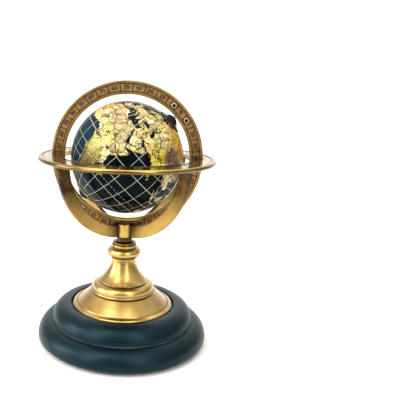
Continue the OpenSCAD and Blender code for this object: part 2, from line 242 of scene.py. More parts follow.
def brass(name, kind, tone, rough, scale=None, dull=0.0, shade=(), hollow=0.0045,
          brush=0.12, lacquer=0.15):
    """Old brass. tone scales its colours, scale is what sunk_scale takes last, dull roughens that
    band, shade is the runs of painted shade that darkened takes last, and hollow is how far the
    painted shade in corners, speckled with dirt, reaches."""
    m = Mat(name)
    p, r, h = radius_about(m, kind)
    lines = m.combine(r, 0.0, h)
    wide = m.noise(p, 38.0, 4.0, 0.6)
    fine = m.noise(lines, 2600.0, 3.0, 0.65)
    mid = m.noise(lines, 700.0, 2.0, 0.5)
    streak = m.add(m.mul(fine, 0.6), m.mul(mid, 0.4))

    def toned(*colour):
        return tuple(c * tone for c in colour)

    base = m.ramp(wide, [(0.25, toned(0.33, 0.190, 0.030)), (0.5, toned(0.53, 0.330, 0.060)),
                         (0.75, toned(0.74, 0.500, 0.120))])
    patina = m.noise(p, 95.0, 5.0, 0.68)
    cover = m.mul(m.ramp(patina, [(0.46, (0, 0, 0)), (0.66, (1, 1, 1))]), 0.34)
    base = m.mix(cover, base, toned(0.17, 0.095, 0.035))
    base = m.mix(m.mul(streak, 0.30), base, toned(0.82, 0.60, 0.24))
    base = m.mix(m.grey(fine, 0.0, 0.22), base, (0.16, 0.085, 0.025))
    base = m.mix(m.grey(mid, 0.0, brush), base, (0.19, 0.085, 0.020))
    rough_value = m.grey(streak, rough - 0.07, rough + 0.10)
    if scale:
        base, mask = sunk_scale(m, kind, base, p, r, h, *scale)
        rough_value = m.add(rough_value, m.mul(mask, dull))
    if shade:
        base = darkened(m, base, p, r, patina, shade)
    spots = m.noise(p, 160.0, 3.0, 0.6)
    # Painted shade in corners and grooves, broken up by dirt spots; it also roughens them.
    dirt_and_shade = m.mul(m.cavity(hollow, 0.30, 1.0), m.grey(spots, 0.65, 1.0), clamp=True)
    base = m.mix(dirt_and_shade, base, (0.055, 0.024, 0.008))
    m.surface(base, m.add(rough_value, m.mul(dirt_and_shade, 0.2)), Metallic=1.0, Anisotropic=0.35,
              Coat_Weight=lacquer, Coat_Roughness=0.22)
    m.bump(m.add(m.mul(streak, 0.5), m.mul(spots, 0.25)), 0.10, 0.00025)
    return m.m


def dark_bronze(name):
    m = Mat(name)
    p = m.coords()
    wide = m.noise(p, 120.0, 4.0, 0.6)
    base = m.ramp(wide, [(0.3, (0.010, 0.011, 0.010)), (0.6, (0.030, 0.034, 0.028)),
                         (0.85, (0.085, 0.090, 0.065))])
    m.surface(base, m.grey(wide, 0.16, 0.34), Metallic=0.85)
    m.bump(m.noise(p, 900.0, 2.0), 0.08, 0.0002)
    return m.m


def steel(name):
    m = Mat(name)
    p = m.coords()
    n = m.noise(p, 500.0, 3.0)
    base = m.ramp(n, [(0.3, (0.36, 0.33, 0.28)), (0.7, (0.66, 0.62, 0.54))])
    m.surface(base, m.grey(n, 0.22, 0.38), Metallic=1.0)
    m.bump(m.noise(p, 2500.0, 2.0), 0.08, 0.0002)
    return m.m


def screw_metal(name):
    """Bright rounded heads with painted shade in the socket and a dark outline, by distance from each
    screw's axis.
    """
    m = Mat(name)
    p = m.coords()
    x, y, z = m.xyz(p)
    nearest = None
    for angle in SCREW_ANGLES:
        dx = m.sub(x, MERIDIAN_MID * math.cos(math.radians(angle)))
        dz = m.sub(z, CENTRE.z + MERIDIAN_MID * math.sin(math.radians(angle)))
        d = m.hypot(dx, dz)
        nearest = d if nearest is None else m.math("MINIMUM", nearest, d)
    n = m.noise(p, 700.0, 3.0)
    base = m.ramp(n, [(0.3, (0.42, 0.31, 0.19)), (0.7, (0.74, 0.60, 0.44))])
    # Painted shade fills the socket; the outline is the dark joint round each head.
    socket = m.band(nearest, 0.0, SCREW_SOCKET, 0.0002)
    rim = m.band(nearest, SCREW_HEAD, 0.00050, 0.0002)
    base = m.mix(m.math("MAXIMUM", socket, rim), base, (0.018, 0.008, 0.006))
    m.surface(base, m.grey(n, 0.30, 0.44), Metallic=0.8)
    m.bump(m.noise(p, 2500.0, 2.0), 0.08, 0.0002)
    return m.m


def lacquered_wood(name):
    """Nearly black teal lacquer over faint grain, with painted shade in its corners and a light line
    along the step's edge.
    """
    m = Mat(name)
    p = m.coords()
    x, y, z = m.xyz(p)
    grain = m.noise(m.combine(m.mul(x, 0.12), y, m.mul(z, 1.6)), 420.0, 6.0, 0.62)
    cloud = m.noise(p, 26.0, 3.0, 0.55)
    base = m.ramp(grain, [(0.25, (0.0008, 0.0034, 0.0045)), (0.55, (0.0015, 0.0060, 0.0078)),
                          (0.8, (0.0026, 0.0100, 0.0120))])
    base = m.mix(m.grey(cloud, 0.0, 0.35), base, (0.0035, 0.0105, 0.0125))
    # Painted shade in corners and grooves.
    base = m.mix(m.mul(m.cavity(0.006), 0.8), base, (0.002, 0.004, 0.005))
    crease_r, crease_z = WOOD_CREASE
    crease = m.mul(m.band(z, crease_z, 0.00050, 0.0001),
                   m.band(m.hypot(x, y), crease_r, 0.0009, 0.0002))
    # A pale line along the step's edge, uneven along its length.
    pale_line = m.mul(crease, m.grey(m.noise(p, 55.0, 3.0), 0.25, 0.95))
    base = m.mix(pale_line, base, (0.085, 0.12, 0.125))
    m.surface(base, m.grey(grain, 0.34, 0.42), Specular_IOR_Level=0.26,
              Specular_Tint=(0.30, 0.80, 1.0, 1), Coat_Weight=0.08, Coat_Roughness=0.25)
    m.bump(m.add(m.mul(grain, 0.6), m.mul(cloud, 0.4)), 0.10, 0.0004)
    return m.m


def felt(name):
    m = Mat(name)
    fibre = m.noise(m.coords(), 1800.0, 5.0, 0.7)
    base = m.ramp(fibre, [(0.3, (0.006, 0.016, 0.010)), (0.7, (0.020, 0.050, 0.030))])
    m.surface(base, 0.95, Sheen_Weight=0.4)
    m.bump(fibre, 0.6, 0.0005)
    return m.m


def tinted(m, p, base, regions):
    """Soft regions of the ball: (direction, cosine at the edge, cosine where full, colour, amount)."""
    way = m.vector("NORMALIZE", m.vector("SUBTRACT", p, CENTRE).outputs[0]).outputs[0]
    ragged = m.mul(m.sub(m.noise(p, 130.0, 4.0, 0.6), 0.5), 0.10)
    for middle, start, full, colour, amount in regions:
        cosine = m.vector("DOT_PRODUCT", way, Vector(middle).normalized()).outputs["Value"]
        base = m.mix(m.mul(m.remap(m.add(cosine, ragged), start, full), amount), base, colour)
    return base


def sea(name):
    m = Mat(name)
    p = m.coords()
    cloud = m.noise(p, 55.0, 4.0, 0.6)
    fleck = m.noise(p, 1500.0, 3.0, 0.7)
    base = m.ramp(cloud, [(0.3, (0.0015, 0.0022, 0.0034)), (0.6, (0.0024, 0.0045, 0.0060)),
                          (0.85, (0.005, 0.011, 0.015))])
    # Painted reflection: a teal sheen towards the ball's upper left and along its lower left edge.
    base = tinted(m, p, base, [((-0.72, -0.50, 0.48), 0.82, 0.99, (0.009, 0.030, 0.043), 0.9),
                               ((-0.86, -0.42, -0.28), 0.84, 0.99, (0.007, 0.020, 0.026), 0.8)])
    flecks = m.mul(m.math("GREATER_THAN", fleck, 0.66), 0.5)
    base = m.mix(flecks, base, (0.012, 0.018, 0.03))
    m.surface(base, m.grey(cloud, 0.10, 0.16), Specular_IOR_Level=0.05,
              Specular_Tint=(0.60, 0.85, 1.0, 1))
    m.bump(m.noise(p, 60.0, 2.0), 0.03, 0.0003)
    return m.m


def land(name):
    """A made-up political map: tinted cells with warped borders, rivers and small dark marks."""
    m = Mat(name)
    p = m.coords()
    warp = m.vector("MULTIPLY_ADD", m.noise(p, 330.0, 5.0, out="Color"), (0.0050, 0.0050, 0.0050))
    m.link(p, warp.inputs[2])
    warped = warp.outputs[0]
    country = 118.0  # scale of the cells
    sep = m.node("SeparateColor")
    m.link(m.voronoi(warped, country, "F1", "Color"), sep.inputs[0])
    base = m.ramp(sep.outputs[0], [
        (0.00, (0.70, 0.60, 0.20)), (0.16, (0.78, 0.71, 0.33)), (0.30, (0.58, 0.50, 0.17)),
        (0.44, (0.84, 0.79, 0.44)), (0.58, (0.62, 0.40, 0.08)), (0.68, (0.66, 0.52, 0.14)),
        (0.79, (0.46, 0.36, 0.16)), (0.89, (0.42, 0.27, 0.17))], "CONSTANT")
    patch = m.noise(p, 300.0, 4.0, 0.65)
    base = m.mix(m.grey(patch, 0.0, 0.34), base, (0.58, 0.43, 0.12))
    base = m.mix(m.grey(m.noise(p, 90.0, 2.0), 0.0, 0.50), base, (0.84, 0.80, 0.46))
    # The first two regions are painted reflection: the gold print turns orange towards the ball's top
    # and right edge. The others are map colours.
    base = tinted(m, p, base, [
        ((-0.30, 0.18, 0.94), 0.83, 0.93, (0.60, 0.29, 0.018), 0.95),
        ((0.92, -0.05, 0.40), 0.80, 0.93, (0.66, 0.36, 0.022), 0.92),
        ((0.55, -0.83, 0.06), 0.955, 0.985, (0.72, 0.60, 0.05), 0.85),
        ((0.80, -0.59, 0.06), 0.965, 0.985, (0.20, 0.105, 0.080), 0.95),
        ((-0.70, -0.70, 0.10), 0.915, 0.970, (0.115, 0.075, 0.012), 0.92),
        ((-0.20, -0.58, 0.78), 0.985, 0.995, (0.38, 0.25, 0.18), 0.65),
        ((-0.48, -0.80, 0.30), 0.965, 0.990, (0.66, 0.62, 0.16), 0.60)])
    border = m.math("LESS_THAN", m.voronoi(warped, country, "DISTANCE_TO_EDGE", "Distance"), 0.034)
    vein = m.math("LESS_THAN", m.voronoi(warped, 360.0, "DISTANCE_TO_EDGE", "Distance"), 0.070)
    river = m.mul(vein, m.math("GREATER_THAN", m.noise(p, 140.0, 1.0), 0.47))
    base = m.mix(m.mul(river, 0.70), base, (0.15, 0.085, 0.03))
    base = m.mix(m.mul(border, 0.94), base, (0.030, 0.018, 0.009))
    marks = m.math("GREATER_THAN", m.noise(p, 1250.0, 1.0, 0.5), 0.585)
    where = m.math("GREATER_THAN", m.noise(p, 210.0, 1.0, 0.5), 0.47)
    base = m.mix(m.mul(m.mul(marks, where), 0.8), base, (0.06, 0.04, 0.02))
    m.surface(base, m.grey(patch, 0.34, 0.50), Specular_IOR_Level=0.12,
              Specular_Tint=(1.0, 0.70, 0.30, 1), Coat_Weight=0.02, Coat_Roughness=0.06)
    m.bump(m.add(m.mul(border, -0.4), patch), 0.12, 0.0003)
    return m.m


def inlay(name, colour, rough=0.35, metallic=0.2):
    m = Mat(name)
    n = m.noise(m.coords(), 700.0, 3.0, 0.6)
    dark = tuple(c * 0.7 for c in colour)
    m.surface(m.ramp(n, [(0.3, dark), (0.7, colour)]), m.grey(n, rough - 0.08, rough + 0.08),
              Metallic=metallic)
    return m.m


M_TURNED = brass("brass_turned", "turned", 1.22, 0.27, brush=0.26, lacquer=0.90)
# Painted shade on the narrow groove and on the stem up under the hub.
M_NECK = brass("brass_neck", "turned", 0.86, 0.24, hollow=0.008, lacquer=0.30,
               shade=(("r", 0.0110, 0.0096, 0.90), ("z", 0.0948, 0.0962, 0.75)))
# Painted shade and dark reflection on the hub's sides next to the arms, and painted shade at its foot.
M_HUB = brass("brass_hub", "turned", 1.16, 0.26, hollow=0.005,
              shade=(("side", 0.0028, 0.0052, 0.92), ("z", 0.1020, 0.0998, 0.85)))
# Painted shade on the arms under the horizon ring, at their roots by the hub and along their inner edge
# under the ball.
M_ARM = brass("brass_arm", "ball", 0.86, 0.30, hollow=0.008, brush=0.42, lacquer=0.03,
              shade=(("z", 0.124, 0.150, 0.95), ("axis", 0.0230, 0.0110, 0.90),
                     ("r", 0.0648, 0.0628, 0.75)))
MERIDIAN_STAINS = ((0.20, 0.100, 0.036), (0.33, 0.185, 0.072), (0.48, 0.29, 0.125))
# Painted shade on the ring's rounded outer edge.
M_RING = brass("brass_meridian", "ring", 0.72, 0.32,
               (MERIDIAN_BAND, MERIDIAN_FLOOR, MERIDIAN_STAINS, TILT), 0.14,
               shade=(("r", 0.0672, 0.0684, 0.75),))
HORIZON_STAINS = ((0.38, 0.25, 0.085), (0.53, 0.38, 0.155), (0.62, 0.47, 0.245))
# Painted shade on the rim's outer edge and on its lower side.
M_HORIZON = brass("brass_horizon", "turned", 0.86, 0.17,
                  (HORIZON_BAND, HORIZON_FLOOR, HORIZON_STAINS, 0.0),
                  shade=(("r", 0.0798, 0.0803, 0.70), ("z", 0.1734, 0.1722, 0.75)))
M_BRONZE = dark_bronze("bronze_dark")
M_STEEL = steel("steel_plain")
M_SCREW = screw_metal("screw_metal")
M_WOOD = lacquered_wood("wood_lacquer")
M_FELT = felt("felt_green")
M_SEA = sea("map_sea")
M_LAND = land("map_land")
M_LINE = inlay("map_line", (0.52, 0.50, 0.39))
M_LINE_DARK = inlay("map_line_dark", (0.075, 0.045, 0.018))
M_DIGIT = inlay("digit_dark", (0.030, 0.015, 0.008), 0.55, 0.1)

look = {
    "felt_pad": M_FELT, "wood_base": M_WOOD, "base_washer": M_STEEL, "base_nut": M_STEEL,
    "tie_rod": M_STEEL, "foot_flange": M_TURNED, "pedestal_bell": M_TURNED,
    "pedestal_bead": M_TURNED, "neck_collar": M_NECK, "cradle_hub": M_HUB,
    "arm_front_left": M_ARM, "arm_front_right": M_ARM, "arm_rear_left": M_ARM,
    "arm_rear_right": M_ARM, "horizon_ring": M_HORIZON, "meridian_ring": M_RING,
    "pole_clip_north": M_RING, "pole_clip_south": M_RING, "pole_screws": M_SCREW,
    "polar_axle": M_STEEL, "globe_north": M_SEA, "globe_south": M_SEA,
    "equator_collar": M_STEEL, "bush_north": M_TURNED, "bush_south": M_TURNED,
    "cap_north": M_BRONZE, "cap_south": M_BRONZE,
}
for node_name, node_ob in nodes.items():
    node_ob.data.materials.clear()
    node_ob.data.materials.append(look[node_name])


# ---------------------------------------------------------------- the map
# Rough outlines of the lands and of the lakes in them, as longitude,latitude pairs in degrees
COASTS = {
    "africa": """
        -6,35.8 -2,35.1 3,36.8 10,37.3 11,35 10.2,34 13,32.9 15.5,32.2 19,30.3 20,31 20.1,32.2
        23,32.6 25,31.7 29,30.9 31.5,31.5 32.4,31.1 32.6,29.9 33.6,27.8 35.5,24 37.2,21 37.5,18.8
        39.2,15.6 41.2,14.6 43.1,12.5 43.2,11.5 44.5,10.4 47.5,11.1 51.2,11.8 50.8,9.5 49,6.5 47.5,4
        45,1.8 42.5,-1 40.2,-2.8 39.2,-5 39.5,-7 40.5,-10.5 40.7,-14.8 37,-17.8 34.8,-19.8
        35.4,-23.8 32.9,-25.6 32.6,-28.3 30.5,-31.2 27,-33.8 22,-34.2 20,-34.8 18.4,-34.2 18.2,-31.8
        16.5,-28.6 15.1,-26.5 14.4,-22.7 11.8,-17.8 12.3,-14 13.7,-10.7 12.9,-8 12.2,-5.8 9.5,-2.5
        8.8,-.6 9.6,1.5 9.8,3.7 8.5,4.6 6,4.3 4.4,6.3 1.2,6.1 -2,4.8 -4.5,5.2 -7.5,4.4 -9.3,5.8
        -11.5,7 -13.3,9 -15,11 -16.8,12.4 -17.4,14.7 -16.4,16.2 -16.2,19.2 -17,21 -16,23.7
        -14.5,26.2 -13,27.8 -11,28.8 -9.8,30 -9.8,31.5 -8,33.3""",
    "eurasia": """
        32.6,29.9 34.2,27.8 34.9,29.5 35.2,28 37.2,24.8 39,21.5 41.5,17.8 42.7,16.4 43.3,12.7
        45,12.8 48.5,14 52.2,15.6 55.2,17.5 57.8,18.9 59.8,22.5 58.5,23.7 56.4,24.7 56.3,26.2
        54,24.2 51.6,24.1 51.5,25.9 50.8,24.8 50.1,26.7 48.7,28.3 48,29.9 50.2,30 51.5,27.9
        54.5,26.6 57,27 57.3,25.7 61.5,25.1 66.5,25.2 67.3,24 69,22.4 70.4,20.8 72.3,21.6 72.8,19
        73.5,15.8 74.8,12.8 76.3,9.8 77.5,8.1 78.2,8.8 79.8,10.3 80.2,13 80,15.3 82.3,16.7 85,19.4
        87,21.2 89,21.8 91.8,22.4 92.3,20.8 94.3,18.2 94.3,16 96.5,16.5 97.7,15.5 98.6,12.5 98.3,8.5
        100.3,6.3 101.4,2.8 103.5,1.3 104.2,1.4 103.4,4.2 102.1,6.2 100.5,7.3 99.3,9.4 99.9,12.2
        100.5,13.5 102.3,12.2 104.9,8.6 106.8,10.5 109.2,11.8 109.2,13.5 107.8,16.5 105.8,18.8
        106.7,20.8 108.5,21.7 110.2,20.4 111.8,21.6 114.2,22.4 116.8,23.3 119,25.3 121,28 121.9,30.8
        120.8,32.8 119.3,35 122.5,37 119,37.5 118,39 121,40.8 121.5,38.9 124.3,39.9 125,37.8
        126.5,36.5 126.4,34.5 129,35.2 129.3,37 127.5,39.5 130.6,42.4 133,42.8 135.5,44 138.5,46.7
        140.5,49.8 140.5,53 137.5,53.8 138,55 142.5,59.2 149,59.6 153,59.2 155.5,60 160,61.8
        163.5,62.5 162.5,60.5 160,60 157,57.8 155.8,56.8 155.6,54 156.5,51.3 158.5,53 161,55
        162.8,57.8 164,60 170.3,60 174,61.8 179,62.5 177.5,64.8 181,65.5 187,64.5 190,66 185,67.2
        180,68.9 176,69.8 170.5,69.2 170,70 160,69.7 152,71 141,72.8 131,71.2 128,73 123.5,73.2
        113.5,73.6 110,74 113,76 104.3,77.7 98,76.2 87,75 80.5,73.6 80.5,72 78,72.2 75.5,72.8
        74.5,70 73.5,68 72,71 72.5,72.8 69,72.8 67,69.5 68.5,68.2 60.5,69.8 54,68.5 48.5,67.7
        44,68.6 43.5,66.4 40.5,64.6 37,64 34.8,64.5 33,66.7 41,66.8 40,67.8 33,69.4 28,71 20,70
        14.5,68 12.5,65.5 10,63.7 5.5,62 5,59.5 6.8,58 10.4,59.2 11.2,58.5 12.8,55.6 14.3,55.6
        16.5,57 18.8,59.9 17.2,61.5 19.5,63.5 22,65.7 25,65.1 21.3,62.8 21.5,60.7 25,60.2 30,59.9
        28,59.5 23.5,59.2 24.3,57.4 21.5,57.3 21,55.3 19.5,54.4 16.5,54.5 13.5,54.3 10.8,54
        10.9,55.5 10.5,57.6 8.2,56.8 8.6,54 6,53.4 3.5,51.4 1.6,50.7 -1.5,49.7 -1.6,48.6 -4.7,48.4
        -1.2,46.2 -1.5,43.4 -8,43.7 -9.2,43 -8.8,40.5 -9.4,38.7 -8.9,37 -6.2,36.6 -5.4,36.1 -2,36.8
        -.5,38.2 .2,39.8 3.2,41.9 3.2,43.2 6,43.1 8.8,44.3 10.4,43 12.4,41.6 15.7,40 16,38 17,39
        16.9,40.5 18.5,40.1 16,41.6 13.6,43.6 12.4,44.6 13.7,45.7 15.2,44.2 18.5,42.4 19.4,41
        20.4,39 21.4,37.6 22.8,36.6 23.2,37.8 22.8,39.5 24,40.6 26.3,40.6 26.2,39.5 27,37.5
        28.2,36.7 30.5,36.5 32.5,36.1 34,36.3 36,36.6 35.8,34.8 34.9,32.2 34.2,31.3 32.4,31.1""",
    "britain": """
        -5.5,50.1 1.3,51.2 1.7,52.7 .2,53.3 -1.5,55 -2,57.5 -4,57.7 -3.2,58.6 -5,58.5 -5.8,56.5
        -4.8,54.8 -3,53.8 -4.5,53.2 -4.8,52 -3,51.4""",
    "ireland": "-10,51.6 -6.3,52.2 -6,53.8 -5.5,54.7 -7.5,55.3 -10,54.2 -9.5,53",
    "iceland": "-22.5,64 -18,63.4 -14,64.8 -16,66.4 -20,65.8 -24,65.8",
    "sicily": "12.4,37.9 15,36.7 15.6,38.2",
    "sardinia": "8.4,39 9.7,39.2 9.6,41.1 8.3,40.8",
    "corsica": "8.6,41.5 9.4,41.7 9.4,42.9",
    "crete": "23.6,35.3 24.8,34.9 26.2,35.1 24.8,35.5",
    "cyprus": "32.4,34.8 34,35 34.4,35.6 33,35.3",
    "madagascar": """
        49.3,-12 50.4,-15.6 49.5,-18 47.2,-24.8 45.2,-25.5 43.6,-23.5 44.3,-20 44.2,-16.5 46.5,-15.6""",
    "ceylon": "79.8,8 80,9.7 81.7,7.5 81,6.2 80,6.2",
    "sumatra": """
        95.4,5.5 98,4.4 100.4,2.3 103.6,-.5 106,-3 105.7,-5.8 102.4,-4 100.3,-1 98.7,1.6 96,4""",
    "java": "105.3,-6.7 106.8,-6.1 110.8,-6.4 114.4,-7.8 114,-8.6 108,-7.8",
    "borneo": """
        109.2,1.7 111.3,2.4 113.5,3.5 116.9,6.9 119.1,5.2 117.8,3.2 118.8,1 117.4,.2 116.2,-3.8
        113.8,-3.3 110.2,-2.8 109,-.2""",
    "sulawesi": """
        119.5,-5.5 120.4,-5.4 120.6,-3 122.8,-5 121.6,-2.2 123.4,-.9 120.4,-.9 120.4,.5 125,1.5
        121,1.3 119.8,.1 118.9,-2.8""",
    "newguinea": """
        131,-.8 134,-.8 135,-3.3 138,-1.7 141,-2.6 145,-4.3 147.8,-6.1 150.8,-10.3 147,-9.5 144,-7.7
        141,-9.1 138,-8.2 138,-5.5 133,-4 132.8,-2.8""",
    "luzon": "120.4,16.2 120.8,18.5 122.2,18.4 121.6,16 124,12.8 121,13.7",
    "mindanao": "122,7 123.5,8.6 125.5,9.7 126.4,7.2 125.5,5.7 124,6.6",
    "taiwan": "120.1,23 121,25 121.9,25 120.9,22",
    "hainan": "108.7,19.3 110.6,20.1 110.8,19 109.5,18.3",
    "honshu": """
        131,34.3 133,35.5 136,35.8 137.3,37.4 139.8,39 140.3,41.2 141.4,41.4 142,39.5 140.9,37
        140.4,35.2 138,34.7 135.8,33.5 134.5,34.6""",
    "kyushu": "129.8,33 131.9,33.6 131.4,31.4 130.2,31.2",
    "hokkaido": "140,41.6 141.8,45.4 145.3,43.3 143.2,42.1 141,42.4",
    "sakhalin": "142.2,46.1 143.5,49 143.2,54.2 142.3,53.3 142,50",
    "australia": """
        113.7,-22.5 114.2,-26 115.7,-31.8 115,-34.2 118,-35 123.5,-33.9 126,-32.3 131,-31.5
        135,-34.7 137.8,-33 138,-35.6 140.6,-38 143.6,-38.8 146.3,-39 149.9,-37.4 151.3,-33.5
        153.1,-30.5 153.2,-25.5 150.8,-23.3 148,-20 146,-18.8 145.4,-15 143.6,-14.2 142.5,-10.8
        141.6,-13.5 141,-17 139.2,-17.4 135.7,-15 136.8,-12.3 132.6,-11.4 130.2,-13 129,-14.9
        126,-14 122.3,-18 118.8,-20.2""",
    "tasmania": "144.7,-40.8 148.2,-40.9 147.5,-43.3 145.6,-42.9",
    "zealand_n": "172.8,-34.5 175.8,-36.8 178.4,-37.7 177,-39.5 175.3,-41.6 174.9,-39.6 174.7,-37",
    "zealand_s": "172.8,-40.6 174.2,-41.8 171.2,-44.3 170,-46.2 167,-46.2 168,-44.2 171.3,-42.3",
    "n_america": """
        -168,65.7 -161.5,66.5 -166,68.3 -156.5,71.3 -141,69.7 -128,70 -115,68.5 -108,67.8 -96,68
        -94,71.8 -90,69.5 -86,67.5 -82,69.5 -81.5,67.5 -87,65.5 -93.5,61.5 -94.7,58.8 -92.5,57
        -87,56 -82.3,55.2 -82.2,53 -79.5,51.3 -79,54.5 -76.7,57 -78.5,59 -77.8,62.4 -73.5,62.3
        -69.5,60.8 -64.8,60.2 -61.5,56.5 -56,52.5 -59,50.3 -66.5,50.2 -68.5,48.8 -64.3,49 -64.8,46.5
        -61,45.8 -65.5,43.6 -66.5,45.1 -70.2,43.6 -70.7,41.8 -74,40.6 -75.5,38 -75.6,35.3 -78.5,33.8
        -81.3,31.2 -80.2,26.5 -81,25.2 -82.7,28 -84.2,30 -89.5,30.3 -94,29.6 -97.3,27.5 -97.7,22.5
        -96,19 -94.2,18.2 -91.2,18.7 -90.3,21 -87,21.5 -88,17.8 -88.7,15.8 -83.3,15 -83.6,11 -81.5,9
        -79.5,9.5 -77.2,8.6 -77.8,7.5 -80.3,7.4 -83,8.3 -85.7,10.5 -87.6,12.9 -91.5,14 -94.5,16.2
        -99.5,16.6 -105.5,20.3 -105.5,22.8 -109,25.8 -112.8,30 -114.7,31.7 -112.5,27.8 -109.6,23.2
        -112.2,25.5 -114.8,28 -117.2,32.6 -120.6,34.6 -122.5,37.5 -124.3,40.4 -124,46 -124.7,48.4
        -122.5,48.5 -127.5,51 -130.5,54.5 -134.5,58.2 -140,59.8 -146,60.8 -151.5,59.5 -154,58.5
        -158,56.3 -164.5,54.7 -160.5,56 -157.2,58.8 -162,58.7 -165.5,61.5 -161,64.4 -166,64.5""",
    "baffin": "-62,66 -68,70.3 -79,73.6 -89,73 -85,70 -78,69.5 -73,67.5 -72,64.5 -66,62",
    "victoria": "-117,71 -105,73 -102,69 -114,69",
    "ellesmere": "-90,76.5 -62,82.5 -75,78.5 -80,76.3",
    "newfoundland": "-59.2,47.7 -56,51.5 -52.8,47.2 -55.5,46.9",
    "cuba": "-84.8,21.9 -82,23.1 -77,21.7 -74.3,20.2 -77.5,19.9 -78.5,21",
    "hispaniola": "-74.4,18.4 -73,19.9 -68.5,18.8 -71,17.8",
    "greenland": """
        -45,60 -41,63.5 -32,68 -22,70.5 -19,75 -17,80 -32,83.3 -55,82 -67,80.3 -68,76.2 -58,75.3
        -54,70.5 -53,66 -51,62.8 -48,60.8""",
    "s_america": """
        -77.2,8.6 -74.8,11 -71.5,12.3 -71.6,10.8 -70,12 -67.8,10.6 -62,10.7 -60.5,8.5 -57,6
        -51.6,4.2 -50,1.2 -48.5,-.8 -44.3,-2.6 -39.5,-3 -35.4,-5.2 -34.9,-8 -37.2,-11.5 -39,-13.5
        -39.2,-17.8 -41,-22 -44.8,-23.2 -48.5,-25.8 -48.8,-28.5 -52,-32.8 -54.9,-35 -58.3,-34
        -57,-36.5 -59,-38.8 -62.3,-39 -62.5,-41 -65,-41 -65.3,-45 -67.5,-46.3 -65.8,-48 -69,-50.5
        -68.3,-52.3 -65.2,-54.8 -69,-55.3 -73.5,-52.5 -75.6,-48.5 -74.3,-44 -73.8,-41.5 -73.5,-37.3
        -71.5,-32.5 -70.4,-25 -70.2,-19 -76.2,-13.8 -79.5,-7.8 -81.2,-5.5 -80.2,-3 -80.9,-1 -79.9,1
        -77.3,3.8 -77.8,7.5""",
    "antarctica": """
        -165,-78 -150,-77 -135,-74.5 -100,-72.5 -75,-73 -62,-65 -62,-73 -50,-77.5 -35,-78 -20,-73.5
        0,-70 30,-69 55,-66.5 80,-68 110,-66 140,-67 165,-71.5 168,-77.5 180,-84""",
    "svalbard": "11,79 16,76.8 21,78.3 25,80.2 14,79.8",
    "novaya": "52,71.5 57,70.6 56,73 68,76.8 60,76 55,74.5",
}
LAKES = {
    "eurasia": [
        """
            28,43.2 28,41.8 31,41.2 35,42 38.5,41 41.5,41.6 41,43 37.5,44.7 38.8,46.6 35.2,46.2
            36.3,45.2 33.6,44.4 32.5,45.4 33.5,46.1 31,46.6 29.7,45""",
        """
            47.5,45.6 50,46.7 53,46.7 53,45.2 51.2,44.5 50.5,44 52.8,42 53.8,40.8 53.8,37 50.3,37.3
            49,38.5 49.5,40.4 48.2,42.2 47,44""",
        "58.5,45.5 60.5,46.6 61.5,45.8 60.5,44 58.5,43.8",
        "104,51.6 106,51.9 109.8,55.5 109,55.6 105.5,52.8",
        "74,46.6 77.5,46.3 79,46.7 77,45.7",
    ],
    "africa": [
        "31.8,-1 32.5,.3 34.2,0 34.2,-1.5 33,-2.7 31.9,-2.4",
        "29.2,-3.5 29.8,-4 31,-8.5 30.2,-8.5 29.2,-6",
        "34,-9.6 34.7,-10.5 35.2,-14.2 34.6,-14.1 34.1,-11.5",
    ],
    "n_america": [
        "-92,46.8 -88,48.6 -84.7,46.6 -87.5,46.5",
        "-87.7,41.8 -86.3,42.5 -85.3,45.2 -87.3,45.3",
        "-83.3,43.9 -82.2,43.2 -80.3,44.7 -83,46",
        "-83,41.6 -79,42.8 -79,43 -82,42.6",
        "-117,61.2 -111,62.4 -114,60.9",
        "-124,65.5 -119,66.8 -121,65",
    ],
}

OLD_WORLD = -25  # a land that lies wholly east of this longitude belongs to the old world
EDGE = (6, 3)  # the old world's west end: west of this longitude and north of this latitude
STRETCH = 0.45  # how much further west it reaches
SHORTEST = 0.007  # a run of coast shorter than this angle gets no more bends
FILL_STEP = math.radians(2.6)  # distance between the points that fill a land
LAND_LIFT = 0.00010  # how far the lands stand off the ball, and how thick they are
LAND_THICK = 0.00012
GRID_STEP = 15  # degrees between the map's lines
DOT_STEP = 4  # degrees between the dashes of the tropics and polar circles
DIGIT_DEPTH = 0.00006


def add_to_scene(ob):
    bpy.context.scene.collection.objects.link(ob)
    return ob


def new_mesh(name, verts, faces, mat, body, smooth=True):
    me = bpy.data.meshes.new(name)
    me.from_pydata([tuple(v) for v in verts], [], faces)
    me.materials.append(mat)
    for p in me.polygons:
        p.use_smooth = smooth
    me.update()
    ob = add_to_scene(bpy.data.objects.new(name, me))
    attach(ob, body)
    return ob


def on_ball(lat, lon, lift):
    la, lo = math.radians(lat), math.radians(lon - LON0)
    d = math.sin(la) * POLE + math.cos(la) * (math.cos(lo) * FRONT + math.sin(lo) * EAST)
    return CENTRE + d * (BALL + lift)


def unit(lat, lon):
    """The direction of a place, with z to the north and longitude 0 at x."""
    la, lo = math.radians(lat), math.radians(lon)
    return Vector((math.cos(la) * math.cos(lo), math.cos(la) * math.sin(lo), math.sin(la)))


def lat_lon(w):
    """The place, in degrees, of a direction that unit gives."""
    la = math.asin(max(-1.0, min(1.0, w.z)))
    return math.degrees(la), math.degrees(math.atan2(w.y, w.x))


def outline(text):
    """Reads the pairs. The west end of the old world is drawn out, as on the object."""
    points = [tuple(float(v) for v in pair.split(",")) for pair in text.split()]
    if min(lon for lon, lat in points) > OLD_WORLD:
        east, south = EDGE
        points = [(lon - STRETCH * (east - lon) if lon < east and lat > south else lon, lat)
                  for lon, lat in points]
    return points


